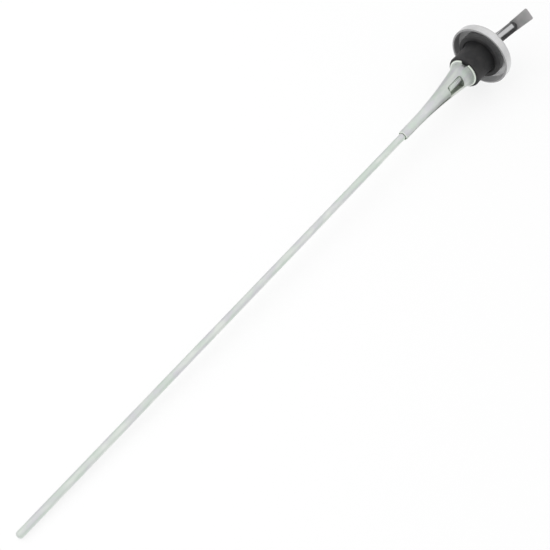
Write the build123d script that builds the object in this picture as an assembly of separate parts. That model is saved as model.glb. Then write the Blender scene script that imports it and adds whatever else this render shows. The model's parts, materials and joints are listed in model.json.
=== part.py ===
from build123d import *
import math
import os

# Gearcase dipstick with an expanding rubber plug and a snap lever.
# Each piece is drawn upright on the stick's own axis: Z runs towards the lever, the cap's rim plane
# is at Z = 0, X is the side that faces up when the part lies down and Y is the side to its right.

# Driving dimensions, in millimetres and degrees.

# Rubber plug, for a one inch filler hole.
PLUG_DIAMETER = 24.0
PLUG_LENGTH = 18.0  # from the cap's rim plane to the plug's free end
PLUG_LIP_WIDTH = 4.4  # how far the lip stands out from the plug's body
PLUG_LIP_PROUD = 0.4  # how far the lip stands out of the cap
PLUG_LIP_ROUND = 0.6
PLUG_END_ROUND = 1.0

# Pressed cap over the plug's lip.
CAP_SHEET = 1.6
CAP_HEIGHT = 7.6
CAP_GROOVE = 4.2  # open groove between the lip and the cap's rim
CAP_SHOULDER = 3.0  # outside radius where the wall turns into the top

# Stem: a round shank with a flat eye at its top.
STEM_DIAMETER = 6.35
STEM_BELOW_NUT = 12.8  # plain end of the shank under the nut
STEM_FIT = 0.25  # radial room for the shank in the cap, plug and foot
EYE_THICKNESS = 3.6
EYE_DIAMETER = 8.0
PIN_DIAMETER = 3.18
PIN_RUN = 0.06  # radial room for the pin in the eye
PIN_SEAT = 0.02  # radial room for the pin in the lever's cheeks
PIN_HEAD_DIAMETER = 5.2
PIN_HEAD_THICKNESS = 0.8
PIN_HEAD_PLAY = 0.03

# Nut inside the socket.
NUT_ACROSS_FLATS = 11.1
NUT_THICKNESS = 5.4
NUT_FIT = 0.05
NUT_ROOM = 0.6  # room round the nut's corners

# Dipstick rod, in three sixteenths of an inch wire.
ROD_DIAMETER = 4.76
ROD_REACH = 431.8  # from the cap's rim plane to the tip
ROD_GRIP = 27.0  # length held in the socket
ROD_FIT = 0.03
ROD_TIP_ROUND = 2.0

# Rolled sheet socket between the plug and the rod.
SOCKET_SHEET = 1.0
SOCKET_LENGTH = 69.0  # from the foot's face to the mouth
SOCKET_SLEEVE = 9.0  # straight part at the mouth
FOOT_SHEET = 1.2
FOOT_OVERHANG = 1.85  # how far the foot stands out from the wall
FOOT_BEND = 1.0
FOOT_PLAY = 0.1  # gap between the foot and the plug when the lever is open
NOTCH_DIAMETER = 6.4
NOTCH_DEPTH = 2.2
WINDOW_DROP = 7.7  # wall left whole between the foot and the window
WINDOW_LENGTH = 13.2
WINDOW_ANGLE = 87.0  # share of the wall that the window takes, as an angle
WINDOW_PAST_SEAM = 10.0  # part of that angle on the seam's lower side
WINDOW_ROUND = 1.5
SEAM_GAP = 0.5
SEAM_TOP_GAP = 1.8  # the seam opens out below the window
SEAM_OPENING = 26.0  # length over which it opens

# Pressed snap lever.
LEVER_SHEET = 1.4
LEVER_REACH = 33.5  # from the pivot to the tab's end
LEVER_NECK = 18.3  # from the pivot to the middle of the neck's round nose
LEVER_DROP = 2.0  # how far the cheeks reach below the pivot line on the neck
LEVER_ROLL = 38.0  # turn of the lever's plane about the stick, from the upper side to the right
LEVER_OPEN_LEAN = 30.0  # lean of the open lever from the stick's axis
LEVER_SWING = 120.0  # from open to flat on the cap
CHEEK_PLAY = 0.3  # room between the eye and each cheek
BACK_ROOM = 1.0  # room between the eye and the lever's back
TAB_WIDTH = 9.0
TAB_ROOT_WIDTH = 7.6
TAB_CORNER = 1.0
CAM_HEEL = 2.5  # how far the open cam stands out past the eye
CAM_LIFT = 3.0  # how far closing the lever draws the stem up
CAM_PLAY = 0.15  # gap between the cam and the cap
HEEL_FLAT = 5.0  # flat that stops the open lever on the cap
REST_FLAT = 1.5  # flat that the closed lever rests on
BOSS_HEIGHT = 5.2  # cheek's height above the pivot
CAM_POINTS = 9

# Sizes worked out from those above.
plug_r = PLUG_DIAMETER / 2
lip_r = plug_r + PLUG_LIP_WIDTH
cap_inner_r = lip_r + CAP_GROOVE
cap_r = cap_inner_r + CAP_SHEET
cap_ceiling = CAP_HEIGHT - CAP_SHEET
rim_round = CAP_SHEET / 2

stem_r = STEM_DIAMETER / 2
stem_hole_r = stem_r + STEM_FIT
eye_r = EYE_DIAMETER / 2
pin_r = PIN_DIAMETER / 2

foot_face = -PLUG_LENGTH - FOOT_PLAY
foot_back = foot_face - FOOT_SHEET
nut_corner_r = NUT_ACROSS_FLATS / 2 / math.cos(math.radians(30))
nut_end = foot_back - NUT_THICKNESS
socket_top_r = nut_corner_r + NUT_ROOM + SOCKET_SHEET + FOOT_BEND / 2
foot_r = socket_top_r + FOOT_OVERHANG
rod_r = ROD_DIAMETER / 2
sleeve_r = rod_r + ROD_FIT + SOCKET_SHEET
socket_mouth = foot_face - SOCKET_LENGTH
sleeve_end = socket_mouth + SOCKET_SLEEVE
window_top = foot_back - WINDOW_DROP
window_end = window_top - WINDOW_LENGTH

cheek_inner = EYE_THICKNESS / 2 + CHEEK_PLAY
lever_half = cheek_inner + LEVER_SHEET
cam_start = eye_r + CAM_HEEL
cam_end = cam_start + CAM_LIFT
cam_rate = CAM_LIFT / math.radians(LEVER_SWING)
pivot_height = CAP_HEIGHT + cam_start + CAM_PLAY
back_start = eye_r + BACK_ROOM


def revolved(edges):
    """Solid of revolution about Z of a closed outline drawn in the XZ plane as (radius, height)."""
    return revolve(Plane.XZ * make_face(edges), Axis.Z)


def disc(radius, low, high):
    """Cylinder on the Z axis between two heights."""
    return Pos(0, 0, low) * extrude(Circle(radius), high - low)


def make_flange_cap():
    """Pressed cap: a flat top, a round shoulder and a wall that ends in a rounded rim."""
    inner_shoulder = CAP_SHOULDER - CAP_SHEET
    shoulder_r = cap_r - CAP_SHOULDER
    shoulder_z = CAP_HEIGHT - CAP_SHOULDER
    outline = [
        Line((stem_hole_r, CAP_HEIGHT), (shoulder_r, CAP_HEIGHT)),
        CenterArc((shoulder_r, shoulder_z), CAP_SHOULDER, 90, -90),
        Line((cap_r, shoulder_z), (cap_r, rim_round)),
        CenterArc((cap_r - rim_round, rim_round), rim_round, 0, -180),
        Line((cap_inner_r, rim_round), (cap_inner_r, shoulder_z)),
        CenterArc((shoulder_r, shoulder_z), inner_shoulder, 0, 90),
        Line((shoulder_r, cap_ceiling), (stem_hole_r, cap_ceiling)),
        Line((stem_hole_r, cap_ceiling), (stem_hole_r, CAP_HEIGHT)),
    ]
    return revolved(outline)


def make_expansion_plug():
    """Rubber plug: a body that fills the hole and a lip that seats in the cap."""
    body_end = -PLUG_LENGTH
    lip_face = -PLUG_LIP_PROUD
    outline = [
        Line((stem_hole_r, cap_ceiling), (lip_r, cap_ceiling)),
        Line((lip_r, cap_ceiling), (lip_r, lip_face + PLUG_LIP_ROUND)),
        CenterArc((lip_r - PLUG_LIP_ROUND, lip_face + PLUG_LIP_ROUND), PLUG_LIP_ROUND, 0, -90),
        Line((lip_r - PLUG_LIP_ROUND, lip_face), (plug_r, lip_face)),
        Line((plug_r, lip_face), (plug_r, body_end + PLUG_END_ROUND)),
        CenterArc((plug_r - PLUG_END_ROUND, body_end + PLUG_END_ROUND), PLUG_END_ROUND, 0, -90),
        Line((plug_r - PLUG_END_ROUND, body_end), (stem_hole_r, body_end)),
        Line((stem_hole_r, body_end), (stem_hole_r, cap_ceiling)),
    ]
    return revolved(outline)


def make_stem():
    """Round shank whose top is flattened between the lever's cheeks and ends in a round eye."""
    flat_start = CAP_HEIGHT - CAM_LIFT - CHEEK_PLAY
    shank = disc(stem_r, nut_end - STEM_BELOW_NUT, flat_start)
    bar = disc(stem_r, flat_start, pivot_height)
    across = Pos(0, 0, pivot_height) * Rot(90, 0, 0)
    eye = across * extrude(Circle(eye_r), EYE_THICKNESS / 2, both=True)
    slab = Box(2 * EYE_DIAMETER, EYE_THICKNESS, 2 * pivot_height)
    hole = across * extrude(Circle(pin_r + PIN_RUN), EYE_THICKNESS, both=True)
    return Rot(0, 0, LEVER_ROLL) * (shank + (bar & slab) + eye - hole)


def make_pivot_pin():
    """Rivet through the lever's cheeks and the stem's eye, with a flat head on each side."""
    head_start = lever_half + PIN_HEAD_PLAY
    pin = extrude(Circle(pin_r), head_start, both=True)
    head = disc(PIN_HEAD_DIAMETER / 2, head_start, head_start + PIN_HEAD_THICKNESS)
    across = Rot(0, 0, LEVER_ROLL) * Pos(0, 0, pivot_height) * Rot(90, 0, 0)
    return across * (pin + head + mirror(head, Plane.XY))


def make_stem_nut():
    """Hexagon nut that bears on the inside of the socket's foot."""
    hexagon = RegularPolygon(nut_corner_r, 6)
    nut = extrude(hexagon, NUT_THICKNESS) - disc(stem_r + NUT_FIT, 0, NUT_THICKNESS)
    return Pos(0, 0, nut_end) * nut


def flare_line(low_r, high_r, high_z):
    """Side of the trumpet: it leaves the sleeve straight and opens steadily to a radius at a height."""
    knee = (low_r, (sleeve_end + high_z) / 2)
    return Bezier((low_r, sleeve_end), knee, (high_r, high_z))


def make_taper_socket():
    """Rolled sheet trumpet on a flat foot, with an open seam that widens to a window near its top."""
    wall_top = foot_back - FOOT_BEND
    inner_top_r = socket_top_r - SOCKET_SHEET
    inner_sleeve_r = sleeve_r - SOCKET_SHEET
    outline = [
        Line((sleeve_r, socket_mouth), (sleeve_r, sleeve_end)),
        flare_line(sleeve_r, socket_top_r, wall_top),
        CenterArc((socket_top_r + FOOT_BEND, wall_top), FOOT_BEND, 180, -90),
        Line((socket_top_r + FOOT_BEND, foot_back), (foot_r, foot_back)),
        Line((foot_r, foot_back), (foot_r, foot_face)),
        Line((foot_r, foot_face), (stem_hole_r, foot_face)),
        Line((stem_hole_r, foot_face), (stem_hole_r, foot_back)),
        Line((stem_hole_r, foot_back), (inner_top_r, foot_back)),
        flare_line(inner_sleeve_r, inner_top_r, foot_back),
        Line((inner_sleeve_r, sleeve_end), (inner_sleeve_r, socket_mouth)),
        Line((inner_sleeve_r, socket_mouth), (sleeve_r, socket_mouth)),
    ]
    return revolved(outline) - socket_window() - socket_seam() - foot_notches()


def socket_window():
    """Sector of a ring from just below the seam up towards X, with its four corners rounded."""
    outline = Pos((rod_r + foot_r) / 2, (window_end + window_top) / 2) * Rectangle(
        foot_r - rod_r, WINDOW_LENGTH
    )
    sector = revolve(Plane.XZ * outline, Axis.Z, WINDOW_ANGLE)
    levels = sector.edges().filter_by(GeomType.LINE).group_by(Axis.Z)
    return Rot(0, 0, 90 + WINDOW_PAST_SEAM - WINDOW_ANGLE) * fillet(levels[0] + levels[-1], WINDOW_ROUND)


def socket_seam():
    """Slit along the Y side, from the mouth to the window, that opens out towards the window."""
    knee = window_end - SEAM_OPENING
    top = window_end + WINDOW_ROUND
    outline = Polyline(
        (-SEAM_TOP_GAP / 2, top),
        (SEAM_TOP_GAP / 2, top),
        (SEAM_TOP_GAP / 2, window_end),
        (SEAM_GAP / 2, knee),
        (SEAM_GAP / 2, socket_mouth - SEAM_GAP),
        (-SEAM_GAP / 2, socket_mouth - SEAM_GAP),
        (-SEAM_GAP / 2, knee),
        (-SEAM_TOP_GAP / 2, window_end),
        close=True,
    )
    return extrude(Plane.XZ * make_face(outline), -foot_r)


def foot_notches():
    """Two half-round notches in the foot, on its upper and lower sides."""
    middle = foot_r + NOTCH_DIAMETER / 2 - NOTCH_DEPTH
    notch = disc(NOTCH_DIAMETER / 2, foot_back - FOOT_BEND, foot_face + FOOT_SHEET)
    return Pos(middle, 0, 0) * notch + Pos(-middle, 0, 0) * notch


def make_dipstick_rod():
    """Plain round rod with a rounded tip."""
    top = socket_mouth + ROD_GRIP
    rod = disc(rod_r, -ROD_REACH, top)
    tip = rod.edges().filter_by(GeomType.CIRCLE).sort_by(Axis.Z)[0]
    return fillet(tip, ROD_TIP_ROUND)


def cam_point(angle):
    """Point of the cam where its distance to the cap grows evenly with the turn of the lever."""
    turned = math.radians(angle - (180 - LEVER_OPEN_LEAN))
    height = cam_start + cam_rate * turned
    normal = Vector(math.cos(math.radians(angle)), math.sin(math.radians(angle)))
    along = Vector(-normal.Y, normal.X)
    return normal * height + along * cam_rate


def make_cheek_outline():
    """Side of the lever: the cam, its stop flats, and the neck. X is along the lever, Y its back."""
    first = 180 - LEVER_OPEN_LEAN
    angles = [first + LEVER_SWING * i / (CAM_POINTS - 1) for i in range(CAM_POINTS)]
    cam = [cam_point(a) for a in angles]
    stop = Vector(math.sin(math.radians(LEVER_OPEN_LEAN)), math.cos(math.radians(LEVER_OPEN_LEAN)))
    heel = cam[0] + stop * HEEL_FLAT
    rest = cam[-1] + Vector(REST_FLAT, 0)
    belly_x = rest.X + cam_end - LEVER_DROP
    corners = [
        cam[0],
        heel,
        Vector(0, BOSS_HEIGHT),
        Vector(back_start, lever_half / 2),
        Vector(LEVER_NECK, 0),
        Vector(LEVER_NECK, -LEVER_DROP),
        Vector(belly_x, -LEVER_DROP),
        rest,
        cam[-1],
    ]
    return make_face([Polyline(*corners), Spline(*cam)])


def neck_form(half_width, start):
    """Bar with a half-round back, from a start to a round nose, down to the cheeks' lower edge."""
    length = LEVER_NECK - start
    bar = Pos(start + length / 2, -LEVER_DROP / 2, 0) * Box(length, LEVER_DROP, 2 * half_width)
    back = Pos(start, 0, 0) * Rot(0, 90, 0) * extrude(Circle(half_width), length)
    nose = Pos(LEVER_NECK, 0, 0) * Sphere(half_width)
    post = Pos(LEVER_NECK, -LEVER_DROP, 0) * Rot(-90, 0, 0) * extrude(Circle(half_width), LEVER_DROP)
    far = 2 * LEVER_REACH
    upper_side = Pos(0, far / 2, 0) * Box(2 * far, far, far)
    return bar + post + ((back + nose) & upper_side)


def make_cam_lever():
    """Pressed lever: two cam cheeks, a half-round neck that is open below, and a flat thumb tab."""
    outline = make_cheek_outline()
    cheek = Pos(0, 0, cheek_inner) * extrude(outline, LEVER_SHEET)
    tab_outline = make_face(
        Polyline(
            (LEVER_NECK, -TAB_ROOT_WIDTH / 2),
            (LEVER_REACH, -TAB_WIDTH / 2),
            (LEVER_REACH, TAB_WIDTH / 2),
            (LEVER_NECK, TAB_ROOT_WIDTH / 2),
            close=True,
        )
    )
    tab_outline = fillet(tab_outline.vertices().group_by(Axis.X)[-1], TAB_CORNER)
    tab = Pos(0, -LEVER_DROP, 0) * Rot(-90, 0, 0) * extrude(tab_outline, LEVER_SHEET)
    form = neck_form(lever_half, back_start) + tab
    hollow = neck_form(cheek_inner, -LEVER_REACH)
    hole = extrude(Circle(pin_r + PIN_SEAT), 2 * lever_half, both=True)
    lever = form - hollow + cheek + mirror(cheek, Plane.XY) - hole
    roll = math.radians(LEVER_ROLL)
    lean = math.radians(LEVER_OPEN_LEAN)
    along = (math.sin(lean) * math.cos(roll), math.sin(lean) * math.sin(roll), math.cos(lean))
    across = (-math.sin(roll), math.cos(roll), 0)
    open_lever = Plane(origin=(0, 0, pivot_height), x_dir=along, z_dir=across)
    return open_lever.location * lever


def lying_place():
    """Place of the upright frame when the part lies on its cap's rim and its rod's tip."""
    run = ROD_REACH - ROD_TIP_ROUND + rim_round
    rise = cap_r - rim_round - rod_r + ROD_TIP_ROUND
    tilt = math.atan2(rise, run) + math.asin((rim_round - ROD_TIP_ROUND) / math.hypot(run, rise))
    c, s = math.cos(tilt), math.sin(tilt)
    height = (cap_r - rim_round) * c + rim_round - rim_round * s
    return Plane(origin=(0, 0, height), x_dir=(-s, 0, c), z_dir=(c, 0, s)).location


pieces = {
    "flange_cap": make_flange_cap(),
    "expansion_plug": make_expansion_plug(),
    "stem": make_stem(),
    "pivot_pin": make_pivot_pin(),
    "stem_nut": make_stem_nut(),
    "taper_socket": make_taper_socket(),
    "dipstick_rod": make_dipstick_rod(),
    "cam_lever": make_cam_lever(),
}

# The origin is under the middle of the lying part.
lying = lying_place()
boxes = [(lying * piece).bounding_box() for piece in pieces.values()]
middle_x = (min(box.min.X for box in boxes) + max(box.max.X for box in boxes)) / 2
place = Pos(-middle_x, 0, 0) * lying

os.makedirs("parts", exist_ok=True)
for name, piece in pieces.items():
    export_step(place * piece, f"parts/{name}.step")
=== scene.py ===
import json
import math

import bmesh
import bpy
import numpy as np
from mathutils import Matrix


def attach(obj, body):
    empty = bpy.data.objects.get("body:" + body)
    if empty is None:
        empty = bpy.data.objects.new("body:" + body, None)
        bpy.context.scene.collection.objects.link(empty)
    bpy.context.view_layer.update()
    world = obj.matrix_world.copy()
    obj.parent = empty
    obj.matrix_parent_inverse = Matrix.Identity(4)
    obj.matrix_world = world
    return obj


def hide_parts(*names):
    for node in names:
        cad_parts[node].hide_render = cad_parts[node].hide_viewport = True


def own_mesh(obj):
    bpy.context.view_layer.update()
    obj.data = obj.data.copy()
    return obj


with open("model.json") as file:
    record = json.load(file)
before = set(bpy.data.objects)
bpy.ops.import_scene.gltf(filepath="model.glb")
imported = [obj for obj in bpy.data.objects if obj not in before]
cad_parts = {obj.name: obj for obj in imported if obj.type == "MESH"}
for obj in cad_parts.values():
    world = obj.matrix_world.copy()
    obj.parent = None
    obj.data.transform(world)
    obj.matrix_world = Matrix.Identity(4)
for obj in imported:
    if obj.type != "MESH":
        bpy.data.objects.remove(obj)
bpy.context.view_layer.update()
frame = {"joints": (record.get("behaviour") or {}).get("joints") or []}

# Sizes of the dipstick in millimetres and degrees, on the stick's own axis. The cap's rim plane is
# at height 0.
MM = 0.001
PIVOT_HEIGHT = 14.25

# Pressed cap.
CAP_RADIUS = 22.2
CAP_SHEET = 1.6
CAP_HEIGHT = 7.6
CAP_SHOULDER = 3.0
CAP_CEILING = CAP_HEIGHT - CAP_SHEET
CAP_RIM_ROUND = 0.45 * CAP_SHEET
HOLE_EDGE = 0.3

# Rubber plug and its lip.
PLUG_RADIUS = 12.0
PLUG_LENGTH = 18.0
PLUG_WAIST = 0.35
PLUG_WAIST_HEIGHT = -0.55 * PLUG_LENGTH
PLUG_WAIST_ROUND = 30.0
PLUG_END_ROUND = 1.0
LIP_RADIUS = 16.4
LIP_PROUD = 0.4
LIP_ROUND = 0.9
LIP_TOP_ROUND = 0.5
LIP_GROOVE = 0.7
GROOVE_EDGE = 0.4
GROOVE_ROUND = 0.25

# Stem with its thread and flat eye.
STEM_RADIUS = 3.175
STEM_HOLE = 3.425
STEM_END = -37.5
STEM_POINT = 0.7
THREAD_PITCH = 1.27
THREAD_DEPTH = 0.42
EYE_RADIUS = 4.0
EYE_THICKNESS = 3.6
EYE_SIDE = 2.9
EYE_NECK = 4.3
EYE_FOOT = -9.95
EYE_EDGE = 0.5

# Pin through the eye and the lever.
PIN_RADIUS = 1.59
PIN_RUN = 0.06
PIN_SEAT = 0.02
PIN_HEAD_RADIUS = 2.6
PIN_HEAD_HEIGHT = 0.8
PIN_HEAD_SIDE = 0.15
PIN_HEAD_PLAY = 0.03

# Nut.
NUT_INRADIUS = 5.55
NUT_TOP = -19.3
NUT_END = -24.7
NUT_BORE = 3.225
NUT_CHAMFER = 0.15
NUT_CHAMFER_SLOPE = 1.7

# Rod.
ROD_RADIUS = 2.38
ROD_TIP = -431.8
ROD_TOP = -60.1
ROD_TIP_ROUND = 2.0

# Rolled socket.
SHEET = 1.0
SHEET_BEVEL = 0.15
SLEEVE_RADIUS = 3.41
SOCKET_MOUTH = -87.1
MOUTH_ROUND = 0.4
SLEEVE_END = -78.1
SOCKET_TOP_RADIUS = 8.509
FOOT_BACK = -19.3
FOOT_FACE = -18.1
FOOT_BEND = 1.0
FOOT_RADIUS = 10.359
FOOT_EDGE = 0.45
FOOT_MARGIN = 0.05
COLLAR_SINK = 0.3
NOTCH_RADIUS = 3.2
NOTCH_DEPTH = 2.2
WINDOW_TOP = -27.0
WINDOW_END = -40.2
WINDOW_UPPER_ANGLE = 77.0
WINDOW_LOWER_ANGLE = 10.0
WINDOW_ROUND = 1.5
SEAM_GAP = 0.5
SEAM_TOP_GAP = 1.8
SEAM_KNEE = -66.2

# Snap lever.
LEVER_LEAN = 30.0
LEVER_SWING = 120.0
LEVER_SHEET = 1.4
LEVER_HALF = 3.5
LEVER_INNER = 2.1
LEVER_NECK = 18.3
LEVER_REACH = 33.5
LEVER_DROP = 2.0
LEVER_START = 5.0
TAB_HALF = 4.5
TAB_ROOT_HALF = 3.8
TAB_CORNER = 1.0
TAB_ROOT_CORNER = 0.3
TAB_EDGE = 0.3
CAM_START = 6.5
CAM_LIFT = 3.0
CHEEK_EDGE = 0.25
CHEEK_INSET = 0.02
HEEL_FLAT = 5.0
REST_FLAT = 1.5
BOSS_HEIGHT = 5.2

# Share of painted shade over the socket's upper wall and its collar.
SOCKET_SHADE = 0.19

# Points of a mesh that lie closer than this, in metres, are one. Edges over this angle stay sharp.
MERGE_DISTANCE = 1e-7
SHARP_ANGLE = 50.0

# The stick's own frame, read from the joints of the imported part.
joints = {joint["name"]: joint for joint in frame["joints"]}
STICK = np.array(joints["stem_lift"]["axis"])
PIVOT = np.array(joints["lever_snap"]["pos_m"])
ACROSS = -np.array(joints["lever_snap"]["axis"])
RIGHT = np.array([0.0, -1.0, 0.0])
UP = np.cross(RIGHT, STICK)
RIM = PIVOT - STICK * PIVOT_HEIGHT * MM

# The open lever's own frame: along the lever, out of its back and across it.
OUTWARD = np.cross(ACROSS, STICK)
LEAN = math.radians(LEVER_LEAN)
ALONG = math.cos(LEAN) * STICK + math.sin(LEAN) * OUTWARD
BACK = np.cross(ACROSS, ALONG)


def on_stick(x, y, z):
    """World points from the stick's frame: x up, y right and z along the stick, in millimetres."""
    x, y, z = np.broadcast_arrays(x, y, z)
    return RIM + MM * (x[..., None] * UP + y[..., None] * RIGHT + z[..., None] * STICK)


def on_lever(x, y, z):
    """World points from the lever's frame: x along, y out of its back, z across, in millimetres."""
    x, y, z = np.broadcast_arrays(x, y, z)
    return PIVOT + MM * (x[..., None] * ALONG + y[..., None] * BACK + z[..., None] * ACROSS)


def on_eye(x, y, z):
    """World points from the eye's frame: x outward, y along the stick, z across, in millimetres."""
    return PIVOT + MM * (x[..., None] * OUTWARD + y[..., None] * STICK + z[..., None] * ACROSS)


def full_turn(columns):
    """Even angles once round an axis, in radians from a frame's x towards its y."""
    return np.linspace(0, 2 * np.pi, columns, endpoint=False)


def around(radius, angle, height, place=on_stick):
    """World points at a radius, an angle and a height on the z axis of a frame."""
    return place(radius * np.cos(angle), radius * np.sin(angle), height)


def turned(outline, columns, place=on_stick):
    """Ring surface: an outline of (radius, height) carried round the z axis of a frame."""
    return around(outline[:, :1], full_turn(columns), outline[:, 1:], place)


def smooth_step(low, high, value):
    """Share from 0 below a low value to 1 above a high one: three squares less two cubes."""
    share = np.clip((value - low) / (high - low), 0, 1)
    return share ** 2 * (3 - 2 * share)


def soft_smaller(one, other, sharpness=6.0):
    """The smaller of two lengths, rounded where they cross: minus the log of two falling powers."""
    return -np.log(np.exp(-sharpness * one) + np.exp(-sharpness * other)) / sharpness


def rounded(corners, steps=7):
    """Closed outline from corners (a, b, radius): each becomes the arc that touches both its sides.

    The arc runs from the point one tangent length before the corner to the one after it, and its
    points turn evenly from the first radius to the last."""
    corners = np.array(corners, float)
    point, radius = corners[:, :2], corners[:, 2:]
    back = np.roll(point, 1, 0) - point
    ahead = np.roll(point, -1, 0) - point
    back /= np.linalg.norm(back, axis=1, keepdims=True)
    ahead /= np.linalg.norm(ahead, axis=1, keepdims=True)
    half = np.arccos(np.clip((back * ahead).sum(1, keepdims=True), -1, 1)) / 2
    middle = back + ahead
    middle /= np.linalg.norm(middle, axis=1, keepdims=True)
    centre = point + middle * radius / np.sin(half)
    first = point + back * radius / np.tan(half) - centre
    last = point + ahead * radius / np.tan(half) - centre
    turn = (np.pi - 2 * half)[:, :, None]
    share = np.linspace(0, 1, steps)[None, :, None]
    spread = np.sin((1 - share) * turn) * first[:, None] + np.sin(share * turn) * last[:, None]
    return (centre[:, None] + spread / np.sin(turn)).reshape(-1, 2)


def even_outline(points, count, passes):
    """Closed outline resampled at even steps of its length, then averaged with its neighbours."""
    closed = np.vstack([points, points[:1]])
    length = np.concatenate([[0], np.cumsum(np.linalg.norm(np.diff(closed, axis=0), axis=1))])
    steps = np.linspace(0, length[-1], count, endpoint=False)
    outline = np.stack([np.interp(steps, length, closed[:, k]) for k in range(2)], axis=1)
    for _ in range(passes):
        outline = (np.roll(outline, 1, 0) + 2 * outline + np.roll(outline, -1, 0)) / 4
    return outline


def plate_edge(outline, low, high, edge, steps):
    """Rounded edge of a plate: rows of its outline from the lower face up, and their heights.

    Each row is drawn in along the outline's normal by the edge's radius times one less the cosine
    of the turn from face to face. A point's normal is square to the chord of its neighbours."""
    tangent = np.roll(outline, -1, 0) - np.roll(outline, 1, 0)
    normal = np.stack([tangent[:, 1], -tangent[:, 0]], axis=1)
    normal /= np.linalg.norm(normal, axis=1, keepdims=True)
    turn = np.linspace(-np.pi / 2, np.pi / 2, steps)
    rows = outline[None] - edge * (1 - np.cos(turn))[:, None, None] * normal[None]
    side = (high - low) / 2 - edge
    return rows, (low + high) / 2 + np.sign(turn) * side + edge * np.sin(turn)


def pierced_plate(outline, hole, low, high, edge):
    """Flat plate with a round hole: a ring of sections (a, b, height), one for each outline point.

    Each section goes out over the lower face, round the edge, back over the upper face and down the
    hole's wall, where it stands on the ray from the hole's middle to the outline's point."""
    rim, rim_height = plate_edge(outline, low, high, edge, steps=6)
    bore = (hole * (outline / np.linalg.norm(outline, axis=1, keepdims=True)))[None]
    flat = np.concatenate([bore, rim, bore])
    height = np.concatenate([[low], rim_height, [high]])[:, None]
    return flat[..., 0], flat[..., 1], height * np.ones(len(outline))


def grid_faces(rows, columns, first, loop_rows):
    """Quads of a grid of points whose columns close on themselves, and its rows too where asked."""
    row = np.arange(rows if loop_rows else rows - 1)[:, None]
    column = np.arange(columns)[None, :]
    next_row = (row + 1) % rows
    next_column = (column + 1) % columns
    corners = [row * columns + column, row * columns + next_column,
               next_row * columns + next_column, next_row * columns + column]
    return first + np.stack(corners, axis=-1).reshape(-1, 4)


def shell(grid, loop_rows, dull_and_painted_light=0.0, painted_shade=0.0):
    """Closed shell: a grid of points, whether its rows close up, and two shares from 0 to 1: a matt
    finish with painted light, and painted shade.
    """
    size = grid.shape[:2]
    return grid, loop_rows, np.broadcast_to(dull_and_painted_light, size), np.broadcast_to(painted_shade, size)


def add_object(name, data):
    """New object at the origin of the scene, for a mesh, a lamp or a camera."""
    made = bpy.data.objects.new(name, data)
    bpy.context.scene.collection.objects.link(made)
    return made


def make_piece(name, shells, body, node, material):
    """One object from closed shells. A shell whose rows don't close up is capped at both ends."""
    points, faces, dull_and_painted_lights, painted_shades, first = [], [], [], [], 0
    for grid, loop_rows, dull_and_painted_light, painted_shade in shells:
        rows, columns = grid.shape[:2]
        points.append(grid.reshape(-1, 3))
        dull_and_painted_lights.append(dull_and_painted_light.ravel())
        painted_shades.append(painted_shade.ravel())
        faces.extend(grid_faces(rows, columns, first, loop_rows).tolist())
        if not loop_rows:
            faces.append(list(range(first, first + columns)))
            faces.append(list(range(first + (rows - 1) * columns, first + rows * columns)))
        first += rows * columns
    mesh = bpy.data.meshes.new(name)
    mesh.from_pydata(np.vstack(points).tolist(), [], faces)
    # Each point carries its share of matt finish with painted light and shade, and its share of
    # painted shade.
    for finish, values in (("dull_and_painted_light", dull_and_painted_lights), ("painted_shade", painted_shades)):
        layer = mesh.attributes.new(finish, "FLOAT", "POINT")
        layer.data.foreach_set("value", np.concatenate(values))
    work = bmesh.new()
    work.from_mesh(mesh)
    bmesh.ops.remove_doubles(work, verts=work.verts, dist=MERGE_DISTANCE)
    bmesh.ops.dissolve_degenerate(work, edges=work.edges, dist=MERGE_DISTANCE)
    bmesh.ops.recalc_face_normals(work, faces=work.faces)
    work.to_mesh(mesh)
    work.free()
    mesh.shade_smooth()
    mesh.set_sharp_from_angle(angle=math.radians(SHARP_ANGLE))
    mesh.materials.append(material)
    piece = add_object(name, mesh)
    even = piece.modifiers.new("even_shading", "WEIGHTED_NORMAL")
    even.weight = 75
    even.keep_sharp = True
    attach(piece, body)
    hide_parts(node)
    return piece


def make_rod(material):
    """Round rod: the tip is a quarter circle turned about the axis, and the side is straight."""
    turn = np.linspace(0, np.pi / 2, 12)
    tip = np.stack([ROD_RADIUS - ROD_TIP_ROUND * (1 - np.sin(turn)),
                    ROD_TIP + ROD_TIP_ROUND * (1 - np.cos(turn))], axis=1)
    height = np.linspace(ROD_TIP + 2 * ROD_TIP_ROUND, ROD_TOP, 120)
    side = np.stack([np.full_like(height, ROD_RADIUS), height], axis=1)
    make_piece("rod", [shell(turned(np.vstack([tip, side]), 64), False)],
               "stick", "dipstick_rod", material)


def socket_radius(height, low, high, top):
    """Radius of the trumpet: even on the sleeve, then growing with the square of the height."""
    share = np.clip((height - SLEEVE_END) / (top - SLEEVE_END), 0, 1)
    return low + (high - low) * share ** 2


def outer_radius(height):
    """Radius of the wall's outside."""
    return socket_radius(height, SLEEVE_RADIUS, SOCKET_TOP_RADIUS, FOOT_BACK - FOOT_BEND)


def inner_radius(height):
    """Radius of the wall's inside."""
    return socket_radius(height, SLEEVE_RADIUS - SHEET, SOCKET_TOP_RADIUS - SHEET, FOOT_BACK)


def foot_radius(angle):
    """Radius of the foot: a circle, less a round notch on its upper and lower sides, softened."""
    middle = FOOT_RADIUS + NOTCH_RADIUS - NOTCH_DEPTH
    across = middle * np.sin(angle)
    inside = np.clip(NOTCH_RADIUS ** 2 - across ** 2, 0, None)
    bottom = middle * np.abs(np.cos(angle)) - np.sqrt(inside)
    notch = np.where(np.abs(across) < NOTCH_RADIUS, bottom, middle)
    return soft_smaller(FOOT_RADIUS, notch)


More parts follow.
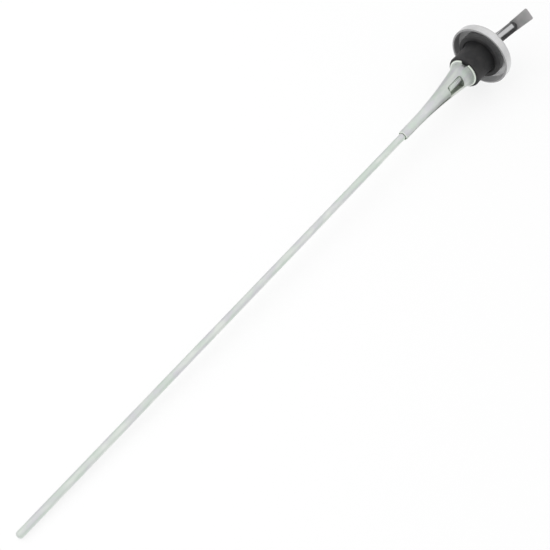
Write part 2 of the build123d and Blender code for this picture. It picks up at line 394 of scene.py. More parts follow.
def wall_heights():
    """Heights of the wall's rings: close together at the mouth's edge and the window's corners."""
    quarter = 1 - np.cos(np.linspace(0, np.pi / 2, 8))
    corner = WINDOW_ROUND * quarter
    step, sill = 1.0, 0.02
    return np.concatenate([
        SOCKET_MOUTH + MOUTH_ROUND * quarter,
        np.linspace(SOCKET_MOUTH + step, WINDOW_END - sill, 70),
        WINDOW_END + corner,
        np.linspace(WINDOW_END + WINDOW_ROUND + step, WINDOW_TOP - WINDOW_ROUND - step, 8),
        WINDOW_TOP - corner[::-1],
    ])[:, None]


def socket_wall():
    """Rolled sheet below the window's top: at each height a ring, open at a slit or the window.

    The ring's ends stand at one angle below the right-hand direction and one above it. Under the
    window the sine of both is the slit's half-width over the radius. Beside it they are the
    window's two angles less its round corners. The mouth's edges are quarter circles, painted pale
    as painted light, with a faint band of painted shade just above them. Painted shade fades with
    the distance from the slit, and more painted shade thickens towards the window."""
    height = wall_heights()
    edge = np.clip(1 - (height - SOCKET_MOUTH) / MOUTH_ROUND, 0, 1)
    drawn = MOUTH_ROUND * (1 - np.sqrt(1 - edge ** 2))
    outer, inner = outer_radius(height) - drawn, inner_radius(height) + drawn
    slit = np.interp(height, [SOCKET_MOUTH, SEAM_KNEE, WINDOW_END],
                     [SEAM_GAP, SEAM_GAP, SEAM_TOP_GAP]) / 2
    corner = np.maximum(WINDOW_END - height, height - WINDOW_TOP) + WINDOW_ROUND
    corner = np.clip(corner, 0, WINDOW_ROUND)
    shrunk = (WINDOW_ROUND - np.sqrt(WINDOW_ROUND ** 2 - corner ** 2)) / outer
    beside = height >= WINDOW_END

    def ends(radius):
        """Angles of the ring's two ends at a radius."""
        seam = np.arcsin(slit / radius)
        low, high = (np.where(beside, np.maximum(math.radians(angle) - shrunk, seam), seam)
                     for angle in (WINDOW_LOWER_ANGLE, WINDOW_UPPER_ANGLE))
        return low, 2 * np.pi - high

    crowding = 1.6
    half = np.linspace(0, 1, 70)[None, :] ** crowding * np.pi
    ring = np.hstack([half, 2 * np.pi - half[:, -2::-1]])
    low_out, high_out = ends(outer)
    low_in, high_in = ends(inner)
    out_angle = np.clip(ring, low_out + SHEET_BEVEL / outer, high_out - SHEET_BEVEL / outer)
    in_angle = np.clip(ring[:, ::-1], low_in + SHEET_BEVEL / inner, high_in - SHEET_BEVEL / inner)
    angle = np.hstack([out_angle, high_out, high_in, in_angle, low_in, low_out])
    out_end, in_end = outer - SHEET_BEVEL, inner + SHEET_BEVEL
    radius = np.hstack([outer + 0 * ring, out_end, in_end, inner + 0 * ring, in_end, out_end])
    # The inside is painted pale as painted light, and so is the mouth's edge; a faint band of
    # painted shade lies just above the mouth.
    inside = np.repeat([0, 0.4, 0.8, 1, 0.8, 0.4], [ring.size, 1, 1, ring.size, 1, 1])
    mouth_pale, mouth_shade = 0.9, 0.06
    painted_pale = np.maximum(inside, mouth_pale * edge)

    # Painted shade along the slit on the right side, fading with the distance from it, none beside
    # the window.
    from_seam = np.minimum(angle, 2 * np.pi - angle) * radius - slit
    slit_shade_share = np.interp(height, [SOCKET_MOUTH, SEAM_KNEE, WINDOW_END - 8, WINDOW_END],
                      [0.15, 0.25, 0.55, 0.55])
    width = np.interp(height, [SEAM_KNEE, WINDOW_END], [2.6, 5.5])
    slit_shade = slit_shade_share * (1 - smooth_step(0, width, from_seam)) * (1 - beside)
    shade_at_mouth = mouth_shade * (1 - smooth_step(0.5, 4, height - SOCKET_MOUTH))
    # Painted shade over the upper wall, thickening towards the window, on the outside only.
    upper_shade = SOCKET_SHADE * smooth_step(SEAM_KNEE, WINDOW_END + 4, height) * (1 - inside)
    painted_shade = np.maximum(np.maximum(shade_at_mouth, slit_shade), upper_shade)
    return shell(around(radius, angle + np.pi / 2, height), False, painted_pale, painted_shade)


def socket_collar():
    """Ring of wall between the window and the foot: up the outside, into the foot, down the inside.

    Under the foot the outside bends out by a quarter circle, and there it stays within the notched
    foot. The lower edge is bevelled above the window only. Painted shade darkens the outside, most
    on the bend and on the right; the inside is painted pale as painted light."""
    angle = full_turn(360)
    first, last = math.radians(90 - WINDOW_UPPER_ANGLE), math.radians(90 + WINDOW_LOWER_ANGLE)
    fade = 0.2
    bevel = (SHEET_BEVEL * smooth_step(first, first + fade, angle)
             * (1 - smooth_step(last - fade, last, angle)))
    bend = np.linspace(0, np.pi / 2, 10)
    wall_top = FOOT_BACK - FOOT_BEND
    sunk = FOOT_BACK + COLLAR_SINK
    edge, step = WINDOW_TOP + SHEET_BEVEL, WINDOW_TOP + 1
    outside = np.concatenate([[edge], np.linspace(step, wall_top - COLLAR_SINK, 8)])
    inside = np.concatenate([np.linspace(sunk, step, 10), [edge]])
    height = np.concatenate([
        [WINDOW_TOP], outside, wall_top + FOOT_BEND * np.sin(bend), [sunk], inside, [WINDOW_TOP],
    ])[:, None]
    radius = np.concatenate([
        [outer_radius(WINDOW_TOP)], outer_radius(outside),
        SOCKET_TOP_RADIUS + FOOT_BEND * (1 - np.cos(bend)), [SOCKET_TOP_RADIUS + FOOT_BEND],
        inner_radius(inside), [inner_radius(WINDOW_TOP)],
    ])[:, None]
    side = np.zeros_like(height)
    side[0], side[-1] = -1, 1
    near_foot = smooth_step(wall_top - COLLAR_SINK, wall_top, height)
    within = soft_smaller(radius, foot_radius(angle) - FOOT_MARGIN, sharpness=10.0)
    shaped = radius + near_foot * (within - radius) + side * bevel
    # The inside is painted pale as painted light. Painted shade lies evenly over the outside, more
    # towards the bend and on the right.
    lining = np.repeat([0.0, 1.0], [len(outside) + len(bend) + 2, len(inside) + 1])[:, None]
    right_side = 0.5 + 0.5 * np.cos(angle - math.radians(65))
    bend_shade = (0.05 + 0.22 * right_side) * smooth_step(wall_top - 5, wall_top - 0.5, height)
    shade_film = (SOCKET_SHADE + bend_shade) * (1 - lining)
    return shell(around(shaped, angle, height), True, lining, shade_film)


def make_socket(material):
    """The rolled wall, the collar above its window and the flat foot on top.

    The foot's edge is pale with a painted highlight, and its notches are dark with painted shade."""
    angle = full_turn(720)
    radius = foot_radius(angle)
    outline = np.stack([radius * np.cos(angle), radius * np.sin(angle)], axis=1)
    outline = even_outline(outline, 400, 4)
    foot = on_stick(*pierced_plate(outline, STEM_HOLE, FOOT_BACK, FOOT_FACE, FOOT_EDGE))
    # Painted highlight pales the foot's edge; painted shade darkens its notches.
    notch = smooth_step(0.4, 1.3, FOOT_RADIUS - np.linalg.norm(outline, axis=1))
    painted_pale = np.repeat([0, 0.65, 0], [1, len(foot) - 2, 1])[:, None] * (1 - notch)
    shells = [socket_wall(), socket_collar(), shell(foot, True, painted_pale, 0.9 * notch)]
    make_piece("socket", shells, "stick", "taper_socket", material)


def make_cap(material):
    """Pressed cap: one closed outline of sheet turned about the axis, matt and painted pale inside
    as painted light, and dark on its rim with painted shade.

    Painted shade on the inside fades with the cosine of the angle from the left."""
    inner = CAP_RADIUS - CAP_SHEET
    outline = rounded([
        (STEM_HOLE, CAP_HEIGHT, HOLE_EDGE),
        (CAP_RADIUS, CAP_HEIGHT, CAP_SHOULDER),
        (CAP_RADIUS, 0, CAP_RIM_ROUND),
        (inner, 0, CAP_RIM_ROUND),
        (inner, CAP_CEILING, CAP_SHOULDER - CAP_SHEET),
        (STEM_HOLE, CAP_CEILING, HOLE_EDGE),
    ], steps=12)
    radius, height = outline[:, :1], outline[:, 1:]
    # The inside is painted pale as painted light. Painted shade darkens the rim's edge and the
    # inside, most on the left.
    lining = smooth_step(0, CAP_SHEET, CAP_RADIUS - radius) * (height < CAP_CEILING + 0.1)
    edge = 1 - smooth_step(0.2 * CAP_RIM_ROUND, 1.1 * CAP_RIM_ROUND, height)
    columns, half_shade, leftward = 160, 0.31, math.radians(80)
    shade_film = lining * (half_shade + half_shade * np.cos(full_turn(columns) + leftward))
    painted_shade = np.maximum(0.6 * edge, shade_film)
    make_piece("cap", [shell(turned(outline, columns), True, lining, painted_shade)],
               "plug_head", "flange_cap", material)


def make_plug(material):
    """Rubber plug: one closed outline turned about the axis, given a mesh of its own.

    A shallow groove runs round the foot of the lip with painted shade in its crease, and painted
    light greys the lip's side, more with height."""
    groove_top = LIP_GROOVE - LIP_PROUD
    outline = rounded([
        (STEM_HOLE, CAP_CEILING, HOLE_EDGE),
        (LIP_RADIUS, CAP_CEILING, LIP_TOP_ROUND),
        (LIP_RADIUS, -LIP_PROUD, LIP_ROUND),
        (PLUG_RADIUS + 2 * LIP_GROOVE, -LIP_PROUD, GROOVE_EDGE),
        (PLUG_RADIUS + LIP_GROOVE, groove_top, GROOVE_ROUND),
        (PLUG_RADIUS, groove_top, GROOVE_ROUND),
        (PLUG_RADIUS - PLUG_WAIST, PLUG_WAIST_HEIGHT, PLUG_WAIST_ROUND),
        (PLUG_RADIUS, -PLUG_LENGTH, PLUG_END_ROUND),
        (STEM_HOLE, -PLUG_LENGTH, HOLE_EDGE),
    ], steps=12)
    radius, height = outline[:, :1], outline[:, 1:]
    # Painted shade in the crease by the groove; painted light greys the lip's side, more with
    # height.
    from_groove = np.hypot(radius - PLUG_RADIUS - LIP_GROOVE, height - groove_top)
    crease = 1 - smooth_step(0.5 * LIP_GROOVE, 2 * LIP_GROOVE, from_groove)
    tone_and_lip_light = (radius > PLUG_RADIUS + 2 * LIP_GROOVE) * smooth_step(-LIP_PROUD, 3, height)
    plug = make_piece("plug", [shell(turned(outline, 128), True, tone_and_lip_light, crease)],
                      "plug_head", "expansion_plug", material)
    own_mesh(plug)


def threaded_shank():
    """Shank of the stem: a thread from its end to the nut, and plain from there to the eye.

    The thread's radius falls from crest to root and back with the distance from a helix, and the
    shank's end is drawn in by a cone."""
    angle = full_turn(48)[None, :]
    height = np.linspace(STEM_END, NUT_END + 1, 170)[:, None]
    turns = height / THREAD_PITCH - angle / (2 * np.pi)
    groove = 1 - np.abs(2 * (turns % 1) - 1)
    steepness, crest = 1.5, 0.25
    radius = STEM_RADIUS - THREAD_DEPTH * np.clip(steepness * groove - crest, 0, 1)
    radius = np.minimum(radius, STEM_RADIUS - STEM_POINT + (height - STEM_END))
    plain = np.array([NUT_END + 1.2, 0.0, EYE_NECK])[:, None]
    radius = np.vstack([radius, np.full((len(plain), angle.size), STEM_RADIUS)])
    return around(radius, angle, np.vstack([height, plain]))


def make_stem(material):
    """Threaded shank and flat eye. The eye is a pierced plate with a round top."""
    arc = np.linspace(-np.pi / 4, np.pi + np.pi / 4, 60)
    crown = np.stack([EYE_RADIUS * np.cos(arc), EYE_RADIUS * np.sin(arc)], axis=1)
    outline = np.vstack([crown, [(-EYE_SIDE, EYE_FOOT), (EYE_SIDE, EYE_FOOT)]])
    half = EYE_THICKNESS / 2
    eye = pierced_plate(even_outline(outline, 160, 3), PIN_RADIUS + PIN_RUN, -half, half, EYE_EDGE)
    make_piece("threaded_stem", [shell(threaded_shank(), False), shell(on_eye(*eye), True)],
               "stick", "stem", material)


def make_nut(material):
    """Hexagon nut: the smaller of a six-sided radius and a cone at each end, round a plain bore."""
    angle = full_turn(180)[None, :]
    sixth = np.pi / 3
    side = NUT_INRADIUS / np.cos((angle + sixth / 2) % sixth - sixth / 2)
    rise = np.array([0, 0.1, 0.25, 0.4, 0.6, 0.85, 1.2])
    height = np.concatenate([NUT_END + rise, NUT_TOP - rise[::-1]])[:, None]
    to_end = np.minimum(height - NUT_END, NUT_TOP - height)
    wall = np.minimum(side, NUT_INRADIUS - NUT_CHAMFER + NUT_CHAMFER_SLOPE * to_end)
    bore = np.full_like(side, NUT_BORE)
    radius = np.vstack([bore, wall, bore])
    height = np.vstack([[[NUT_END]], height, [[NUT_TOP]]])
    make_piece("nut", [shell(around(radius, angle, height), True)],
               "stick", "stem_nut", material)


def make_pin(material):
    """Rivet across the lever: a straight shank between two heads with the domes of ellipses."""
    turn = np.linspace(0, 1.45, 10)
    seat = LEVER_HALF + PIN_HEAD_PLAY
    rise = seat + PIN_HEAD_SIDE + (PIN_HEAD_HEIGHT - PIN_HEAD_SIDE) * np.sin(turn)
    dome = np.stack([PIN_HEAD_RADIUS * np.cos(turn), rise], axis=1)
    upper = np.vstack([[(PIN_RADIUS, seat), (PIN_HEAD_RADIUS, seat)], dome])
    lower = (upper * [1, -1])[::-1]
    make_piece("pin", [shell(turned(np.vstack([lower, upper]), 48, on_lever), False)],
               "lever", "pivot_pin", material)


def cheek_outline():
    """Side of the lever about its pivot: cam, rest flat, neck, boss and stop flat.

    The cam's distance to the cap grows evenly with the lever's turn, so each of its points is that
    distance along a turning normal plus the rate of growth along the tangent."""
    turn = np.radians(180 - LEVER_LEAN + np.linspace(0, LEVER_SWING, 60))
    rate = CAM_LIFT / math.radians(LEVER_SWING)
    normal = np.stack([np.cos(turn), np.sin(turn)], axis=1)
    tangent = np.stack([-normal[:, 1], normal[:, 0]], axis=1)
    cam = normal * (CAM_START + rate * (turn - turn[0]))[:, None] + tangent * rate
    heel = cam[0] + HEEL_FLAT * np.array([math.sin(LEAN), math.cos(LEAN)])
    rest = cam[-1] + [REST_FLAT, 0]
    belly = rest[0] + CAM_START + CAM_LIFT - LEVER_DROP
    neck = [rest, (belly, -LEVER_DROP), (LEVER_NECK, -LEVER_DROP), (LEVER_NECK, 0),
            (LEVER_START, LEVER_HALF / 2), (0, BOSS_HEIGHT), heel]
    return even_outline(np.vstack([cam, neck]), 420, 12)


def lever_neck():
    """Half-round channel that ends in a round nose, as a closed section carried along the lever.

    Each section goes up one outer side, over a half circle and down the other, then back the same
    way inside. On the nose both half circles shrink with the cosine of a turn while they move on
    with its sine. Painted shade covers the right side, the end of the nose, a thin line along the
    left edge and, at half strength, the inside."""
    turn = np.linspace(0, np.pi / 2, 16)
    straight = np.linspace(LEVER_START, LEVER_NECK, 12)[:-1]
    shrink = np.concatenate([np.ones_like(straight), np.cos(turn)])[:, None]
    reach = np.concatenate([np.zeros_like(straight), np.sin(turn)])[:, None]
    start = np.concatenate([straight, np.full_like(turn, LEVER_NECK)])[:, None]
    arc = np.linspace(0, np.pi, 40)
    across = np.concatenate([[1, 1], np.cos(arc), [-1, -1]])
    over = np.concatenate([[0, 0], np.sin(arc), [0, 0]])
    skirt = np.array([-LEVER_DROP, -LEVER_DROP / 2])
    down = np.concatenate([skirt, 0 * arc, skirt[::-1]])

    def side(half):
        """Rows along the lever, out of its back and across it, for one face of the sheet."""
        rows = (start + half * reach, half * shrink * over + down, half * shrink * across)
        return np.broadcast_arrays(*rows)

    section = [np.hstack([outer, inner[:, ::-1]])
               for outer, inner in zip(side(LEVER_HALF), side(LEVER_INNER))]
    # Painted shade on the right flank, a thin line on the left edge and the nose, fading in from
    # the neck's start; half as much inside.
    right, left = smooth_step(-0.2, 0.08, across), 0.85 * smooth_step(0.7, 0.86, -across)
    flank_shade = np.maximum(right, left) * smooth_step(LEVER_START, LEVER_START + 3, start)
    painted_shade = np.maximum(flank_shade, smooth_step(0.05, 0.3, reach))
    hidden = np.ones_like(painted_shade)
    return shell(on_lever(*section), False, np.hstack([0 * painted_shade, hidden]),
                 np.hstack([painted_shade, 0.5 * hidden]))


def lever_tab():
    """Flat thumb tab: a closed outline whose root follows the inside of the nose, with round edges.

    Painted shade on it fades from the nose outwards."""
    arc = np.linspace(np.pi / 2.1, -np.pi / 2.1, 24)
    root = np.stack([LEVER_NECK + LEVER_INNER * np.cos(arc), LEVER_INNER * np.sin(arc)], axis=1)
    root_end = LEVER_NECK + TAB_ROOT_CORNER
    corners = rounded([
        (root_end, -TAB_ROOT_HALF, TAB_ROOT_CORNER),
        (LEVER_REACH, -TAB_HALF, TAB_CORNER),
        (LEVER_REACH, TAB_HALF, TAB_CORNER),
        (root_end, TAB_ROOT_HALF, TAB_ROOT_CORNER),
    ])
    outline = even_outline(np.vstack([corners, root]), 300, 2)
    rim, height = plate_edge(outline, -LEVER_DROP, LEVER_SHEET - LEVER_DROP, TAB_EDGE, steps=8)
    along, across = rim[..., 0], rim[..., 1]
    # Painted shade fades from the nose along the tab.
    shade = 0.45 * (1 - smooth_step(LEVER_NECK + 2, LEVER_NECK + 9, along))
    return shell(on_lever(along, height[:, None], across), False, 1.0, shade)


def make_lever(material):
    """Pressed lever: two cam cheeks, the half-round neck, and the rougher thumb tab in painted
    shade.
    """
    x, y, z = pierced_plate(cheek_outline(), PIN_RADIUS + PIN_SEAT, LEVER_INNER + CHEEK_INSET,
                            LEVER_HALF - CHEEK_INSET, CHEEK_EDGE)
    cheeks = [shell(on_lever(x, y, side * z), True) for side in (1, -1)]
    make_piece("lever", [*cheeks, lever_neck(), lever_tab()],
               "lever", "cam_lever", material)


def node(tree, kind, inputs=(), **settings):
    """New shader node with its settings, its inputs linked to sockets or set to plain values."""
    made = tree.nodes.new("ShaderNode" + kind)
    for setting, value in settings.items():
        setattr(made, setting, value)
    for name, value in dict(inputs).items():
        if isinstance(value, bpy.types.NodeSocket):
            tree.links.new(value, made.inputs[name])
        else:
            made.inputs[name].default_value = value
    return made


def number(tree, operation, *values, limited=False):
    """One sum on numbers, whose result may be limited to the span from 0 to 1."""
    made = node(tree, "Math", enumerate(values), operation=operation, use_clamp=limited)
    return made.outputs[0]


def vector(tree, operation, *values):
    """One sum on vectors, as its two outputs: a vector and a number."""
    return node(tree, "VectorMath", enumerate(values), operation=operation).outputs


def weighted_sum(tree, base, *terms):
    """A base number plus each value times its weight, limited to the span from 0 to 1."""
    for value, weight in terms:
        base = number(tree, "MULTIPLY_ADD", value, weight, base, limited=True)
    return base


def mixed(tree, share, first, second):
    """Colour between two others."""
    return node(tree, "Mix", {0: share, 6: first, 7: second}, data_type="RGBA").outputs[2]


def ranged(tree, value, source, target=(0.0, 1.0), ease="LINEAR"):
    """Number moved from one span to another, evenly or with level ends, and kept within it."""
    inputs = {"Value": value, "From Min": source[0], "From Max": source[1],
              "To Min": target[0], "To Max": target[1]}
    return node(tree, "MapRange", inputs, interpolation_type=ease).outputs["Result"]


def noise(tree, place, scale, detail, roughness=0.5):
    """Noise over a place, from 0 to 1."""
    inputs = {"Vector": place, "Scale": scale, "Detail": detail, "Roughness": roughness}
    return node(tree, "TexNoise", inputs).outputs["Fac"]


def attribute(tree, name):
    """A piece's own finish value, which its mesh carries at each point."""
    return node(tree, "Attribute", attribute_name=name).outputs["Fac"]


def new_group(name, inputs, outputs):
    """Empty node group with named inputs (kind and plain value) and outputs (kind)."""
    tree = bpy.data.node_groups.new(name, "ShaderNodeTree")
    for label, (kind, value) in inputs.items():
        socket = tree.interface.new_socket(label, in_out="INPUT", socket_type="NodeSocket" + kind)
        socket.default_value = value
    for label, kind in outputs.items():
        tree.interface.new_socket(label, in_out="OUTPUT", socket_type="NodeSocket" + kind)
    given = tree.nodes.new("NodeGroupInput").outputs
    return tree, given, tree.nodes.new("NodeGroupOutput").inputs


def placed(tree, group, **inputs):
    """Outputs of a node group placed in a material with its own values."""
    return node(tree, "Group", inputs, node_tree=group).outputs


def group_stick_place():
    """Place on the stick in millimetres: up, right and along, the last one divided by a stretch."""
    tree, given, made = new_group("stick_place", {"Stretch": ("Float", 1.0)},
                                  {"Place": "Vector", "Radius": "Float"})
    world = node(tree, "TexCoord").outputs["Object"]
    from_rim = vector(tree, "SUBTRACT", world, RIM.tolist())[0]
    up, right, along = (vector(tree, "DOT_PRODUCT", from_rim, (direction / MM).tolist())[1]
                        for direction in (UP, RIGHT, STICK))
    along = number(tree, "DIVIDE", along, given["Stretch"])
    place = node(tree, "CombineXYZ", {0: up, 1: right, 2: along}).outputs[0]
    flat = node(tree, "CombineXYZ", {0: up, 1: right}).outputs[0]
    tree.links.new(place, made["Place"])
    tree.links.new(vector(tree, "LENGTH", flat)[1], made["Radius"])
    return tree


def group_soft_patches():
    """Three tints of one finish in soft patches: two slow noises choose between them."""
    white = ("Color", (1, 1, 1, 1))
    inputs = {"Place": ("Vector", (0, 0, 0)), "Size": ("Float", 8.0),
              "First": white, "Second": white, "Third": white}
    tree, given, made = new_group("soft_patches", inputs, {"Color": "Color", "Mask": "Float"})
    scale = number(tree, "DIVIDE", 1.0, given["Size"])
    apart = vector(tree, "ADD", given["Place"], (37.0, 11.0, 5.0))[0]
    slow, other = noise(tree, given["Place"], scale, 2.0), noise(tree, apart, scale, 3.0)
    mask = ranged(tree, slow, (0.36, 0.64), ease="SMOOTHSTEP")
    light = ranged(tree, other, (0.42, 0.7), ease="SMOOTHSTEP")
    tint = mixed(tree, mask, given["First"], given["Second"])
    tree.links.new(mixed(tree, light, tint, given["Third"]), made["Color"])
    tree.links.new(mask, made["Mask"])
    return tree


def group_fine_marks():
    """Fine handling marks: stretched noise as a height, and specks where a finer noise peaks."""
    inputs = {"Place": ("Vector", (0, 0, 0)), "Fineness": ("Float", 4.0)}
    tree, given, made = new_group("fine_marks", inputs, {"Height": "Float", "Specks": "Float"})
    grain = noise(tree, given["Place"], given["Fineness"], 5.0, roughness=0.65)
    fine = noise(tree, given["Place"], 2.3, 2.0)
    tree.links.new(grain, made["Height"])
    tree.links.new(ranged(tree, fine, (0.62, 0.74)), made["Specks"])
    return tree


def group_painted_shade_mix():
    """Painted shade over a colour where a piece's shade value is high, with its edge broken up by
    noise.
    """
    inputs = {"Place": ("Vector", (0, 0, 0)), "Color": ("Color", (1, 1, 1, 1)),
              "Dirt": ("Color", (0, 0, 0, 1))}
    tree, given, made = new_group("painted_shade_mix", inputs, {"Color": "Color", "Mask": "Float"})
    uneven = ranged(tree, noise(tree, given["Place"], 0.9, 4.0), (0.3, 0.7), (0.9, 1.08))
    mask = number(tree, "MULTIPLY", attribute(tree, "painted_shade"), uneven, limited=True)
    tree.links.new(mixed(tree, mask, given["Color"], given["Dirt"]), made["Color"])
    tree.links.new(mask, made["Mask"])
    return tree


def new_material(name):
    """Node material, its tree and its surface shader, which the caller fills in."""
    material = bpy.data.materials.new(name)
    material.use_nodes = True
    return material, material.node_tree, material.node_tree.nodes["Principled BSDF"]


def finish_surface(tree, shader, colour, roughness, height, depth):
    """Links a colour, a roughness and a height, whose depth is in metres, to a surface shader."""
    bump = node(tree, "Bump", {"Height": height, "Distance": depth, "Strength": 1.0})
    tree.links.new(colour, shader.inputs["Base Color"])
    tree.links.new(roughness, shader.inputs["Roughness"])
    tree.links.new(bump.outputs[0], shader.inputs["Normal"])


def zinc_plate(groups):
    """Clear zinc on drawn wire and rolled sheet: pale, in green and violet patches.

    Its fine marks run along the stick. The socket's inside is matt and green, painted pale as
    painted light, and a dark colour is painted shade."""
    material, tree, shader = new_material("zinc_plate")
    place = placed(tree, groups["stick_place"], Stretch=2.5)["Place"]
    drawn = placed(tree, groups["stick_place"], Stretch=30.0)["Place"]
    tint = placed(tree, groups["soft_patches"], Place=place, Size=5.0, First=(0.64, 0.71, 0.65, 1),
                  Second=(0.67, 0.67, 0.695, 1), Third=(0.75, 0.785, 0.745, 1))
    marks = placed(tree, groups["fine_marks"], Place=drawn, Fineness=3.0)
    lining = attribute(tree, "dull_and_painted_light")
    # The pale colour for the inside, mouth and foot edge is painted light; the dark one is painted
    # shade.
    colour = mixed(tree, lining, tint["Color"], (0.86, 0.92, 0.82, 1))
    shaded = placed(tree, groups["painted_shade_mix"], Place=place, Color=colour,
                   Dirt=(0.08, 0.09, 0.078, 1))
    metal = ranged(tree, lining, (0.0, 1.0), (1.0, 0.1))
    tree.links.new(metal, shader.inputs["Metallic"])
    rough = weighted_sum(tree, 0.2, (marks["Height"], 0.2), (marks["Specks"], 0.12),
                         (shaded["Mask"], 0.25), (lining, 0.2))
    finish_surface(tree, shader, shaded["Color"], rough, marks["Height"], depth=0.00003)
    return material


def polished_steel(groups):
    """Bright pressed steel of the cap: faint spin marks round the axis, a matt inside in painted
    light, and painted shade.
    """
    material, tree, shader = new_material("polished_steel")
    on_cap = placed(tree, groups["stick_place"], Stretch=1.0)
    rings = node(tree, "CombineXYZ", {0: on_cap["Radius"]}).outputs[0]
    spun = placed(tree, groups["fine_marks"], Place=rings, Fineness=5.0)
    tint = placed(tree, groups["soft_patches"], Place=on_cap["Place"], Size=9.0,
                  First=(0.64, 0.64, 0.65, 1), Second=(0.67, 0.67, 0.665, 1),
                  Third=(0.70, 0.70, 0.705, 1))
    lining = attribute(tree, "dull_and_painted_light")
    # The pale inside colour is painted light, and the dark one is painted shade.
    colour = mixed(tree, lining, tint["Color"], (0.82, 0.82, 0.825, 1))
    shaded = placed(tree, groups["painted_shade_mix"], Place=on_cap["Place"], Color=colour,
                   Dirt=(0.07, 0.07, 0.072, 1))
    metal = ranged(tree, lining, (0.0, 1.0), (1.0, 0.4))
    tree.links.new(metal, shader.inputs["Metallic"])
    rough = weighted_sum(tree, 0.13, (tint["Mask"], 0.07), (spun["Specks"], 0.06), (lining, 0.3))
    finish_surface(tree, shader, shaded["Color"], rough, spun["Height"], depth=0.00002)
    return material


def pressed_steel(groups):
    """Steel of the lever and its pin: bright on the neck, rougher on the tab with a darker tint of
    painted shade, black painted shade where asked.
    """
    material, tree, shader = new_material("pressed_steel")
    place = placed(tree, groups["stick_place"], Stretch=1.0)["Place"]
    marks = placed(tree, groups["fine_marks"], Place=place, Fineness=2.0)
    bright = placed(tree, groups["soft_patches"], Place=place, Size=6.0,
                    First=(0.53, 0.53, 0.54, 1), Second=(0.56, 0.56, 0.56, 1),
                    Third=(0.60, 0.60, 0.60, 1))
    # The tab's darker tints are painted shade on the same steel.
    tab_shade_tints = placed(tree, groups["soft_patches"], Place=place, Size=7.0,
                   First=(0.34, 0.355, 0.345, 1), Second=(0.38, 0.37, 0.375, 1),
                   Third=(0.44, 0.425, 0.43, 1))
    tab = attribute(tree, "dull_and_painted_light")
    colour = mixed(tree, tab, bright["Color"], tab_shade_tints["Color"])
    # A near-black colour of painted shade where a piece's shade value is high.
    shaded = placed(tree, groups["painted_shade_mix"], Place=place, Color=colour,
                   Dirt=(0.012, 0.012, 0.013, 1))
    metal = ranged(tree, shaded["Mask"], (0.0, 1.0), (1.0, 0.0))
    tree.links.new(metal, shader.inputs["Metallic"])
    rough = weighted_sum(tree, 0.12, (marks["Height"], 0.12), (marks["Specks"], 0.1), (tab, 0.22),
                         (shaded["Mask"], 0.4))
    finish_surface(tree, shader, shaded["Color"], rough, marks["Height"], depth=0.00003)
    return material


def black_rubber(groups):
    """Moulded black rubber: a fine texture, grey patches, painted light on the lip, painted shade
    in the crease.
    """
    material, tree, shader = new_material("black_rubber")
    shader.inputs["Specular IOR Level"].default_value = 0.35
    place = placed(tree, groups["stick_place"], Stretch=1.0)["Place"]
    marks = placed(tree, groups["fine_marks"], Place=place, Fineness=2.6)
    tone_and_lip_light = placed(tree, groups["soft_patches"], Place=place, Size=6.0,
                   First=(0.018, 0.018, 0.019, 1), Second=(0.024, 0.024, 0.025, 1),
                   Third=(0.031, 0.030, 0.030, 1))
    dust = number(tree, "MULTIPLY", marks["Specks"], 0.25, limited=True)
    dusty = mixed(tree, dust, tone_and_lip_light["Color"], (0.075, 0.074, 0.072, 1))
    # Painted light greys the lip; painted shade blackens the crease.
    lip_light = mixed(tree, attribute(tree, "dull_and_painted_light"), dusty, (0.28, 0.28, 0.282, 1))
    shaded = placed(tree, groups["painted_shade_mix"], Place=place, Color=lip_light,
                   Dirt=(0.006, 0.006, 0.0065, 1))
    rough = weighted_sum(tree, 0.45, (marks["Height"], 0.25))
    finish_surface(tree, shader, shaded["Color"], rough, marks["Height"], depth=0.00006)
    return material


def seen_directly(tree):
    """Share of 1 for rays from the camera and for those that mirrors and glass send on."""
    path = node(tree, "LightPath").outputs
    sent_on = number(tree, "MAXIMUM", path["Is Glossy Ray"], path["Is Transmission Ray"])
    return number(tree, "MAXIMUM", path["Is Camera Ray"], sent_on)


def add_floor():
    """Plain white floor: a wide square just under the part, that keeps a faint shadow.

    Camera and mirror rays mostly pass it and see the white sky, so the underside shows too."""
    reach, drop, clear_share = 4.0, 0.0001, 0.82
    side = np.linspace(-reach, reach, 2)
    x, y = np.meshgrid(side, side)
    points = np.stack([x, y, np.full_like(x, -drop)], axis=-1).reshape(-1, 3)
    mesh = bpy.data.meshes.new("floor")
    mesh.from_pydata(points.tolist(), [], [(0, 1, 3, 2)])
    material, tree, shader = new_material("floor_white")
    shader.inputs["Base Color"].default_value = (0.92, 0.92, 0.92, 1)
    shader.inputs["Roughness"].default_value = 0.9
    shader.inputs["Specular IOR Level"].default_value = 0.0
    clear = node(tree, "BsdfTransparent").outputs[0]
    share = number(tree, "MULTIPLY", seen_directly(tree), clear_share)
    mix = node(tree, "MixShader", {0: share, 1: shader.outputs[0], 2: clear}).outputs[0]
    tree.links.new(mix, tree.nodes["Material Output"].inputs["Surface"])
    mesh.materials.append(material)
    floor = add_object("floor", mesh)


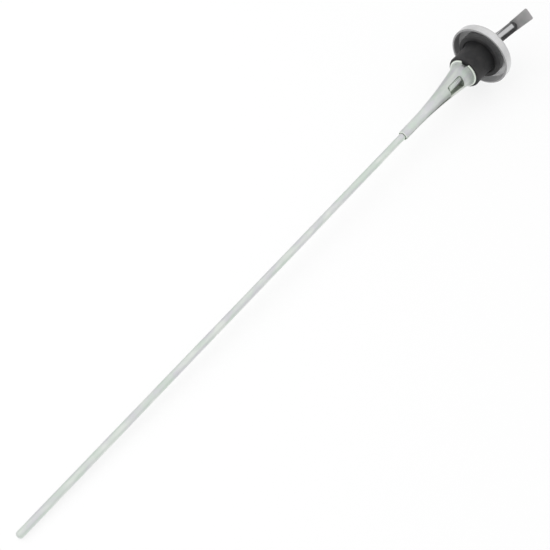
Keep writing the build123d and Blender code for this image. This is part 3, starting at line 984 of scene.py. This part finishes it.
def add_light():
    """White studio: an even sky that camera rays see as white, and a soft lamp at the upper left.

    What mirror rays see of it is a little greyer towards the horizon, which rounds the metal."""
    world = bpy.data.worlds.new("studio")
    bpy.context.scene.world = world
    world.use_nodes = True
    tree = world.node_tree
    sky = tree.nodes["Background"]
    sky.inputs["Color"].default_value = (1, 1, 1, 1)
    sky.inputs["Strength"].default_value = 0.75
    direction = node(tree, "TexCoord").outputs["Generated"]
    rise = node(tree, "SeparateXYZ", {0: direction}).outputs[2]
    level = number(tree, "ABSOLUTE", rise)
    shade = ranged(tree, level, (0.1, 0.75), (0.86, 1.0), ease="SMOOTHSTEP")
    shade = number(tree, "MAXIMUM", shade, node(tree, "LightPath").outputs["Is Camera Ray"])
    white = node(tree, "Background", {"Color": (1, 1, 1, 1), "Strength": shade}).outputs[0]
    mix = node(tree, "MixShader", {0: seen_directly(tree), 1: sky.outputs[0], 2: white}).outputs[0]
    tree.links.new(mix, tree.nodes["World Output"].inputs["Surface"])
    lamp = bpy.data.lights.new("key", "AREA")
    lamp.energy = 8.0
    lamp.size = 1.2
    key = add_object("key", lamp)
    key.location = (-0.45, 0.55, 0.95)
    key.rotation_euler = (-key.location).to_track_quat("-Z", "Y").to_euler()
    key.visible_glossy = False


def add_camera():
    """Camera at the photograph's angle: a long lens that looks down past the tip to the cap."""
    lens = bpy.data.cameras.new("camera")
    lens.sensor_width = 36.0
    lens.lens = 69.867
    lens.clip_start = 0.01
    camera = add_object("camera", lens)
    yaw, pitch = 40.096, 57.924
    camera.location = RIM + np.array([-0.48372, -0.22473, 0.53996])
    camera.rotation_euler = (math.radians(90 - pitch), 0, math.radians(yaw - 90))
    bpy.context.scene.camera = camera


effects = (group_stick_place(), group_soft_patches(), group_fine_marks(), group_painted_shade_mix())
groups = {tree.name: tree for tree in effects}
zinc, rubber = zinc_plate(groups), black_rubber(groups)
cap_steel, lever_steel = polished_steel(groups), pressed_steel(groups)
make_rod(zinc)
make_socket(zinc)
make_nut(zinc)
make_stem(zinc)
make_cap(cap_steel)
make_pin(lever_steel)
make_lever(lever_steel)
make_plug(rubber)
add_floor()
add_light()
add_camera()

bpy.context.scene.view_settings.view_transform = "Standard"
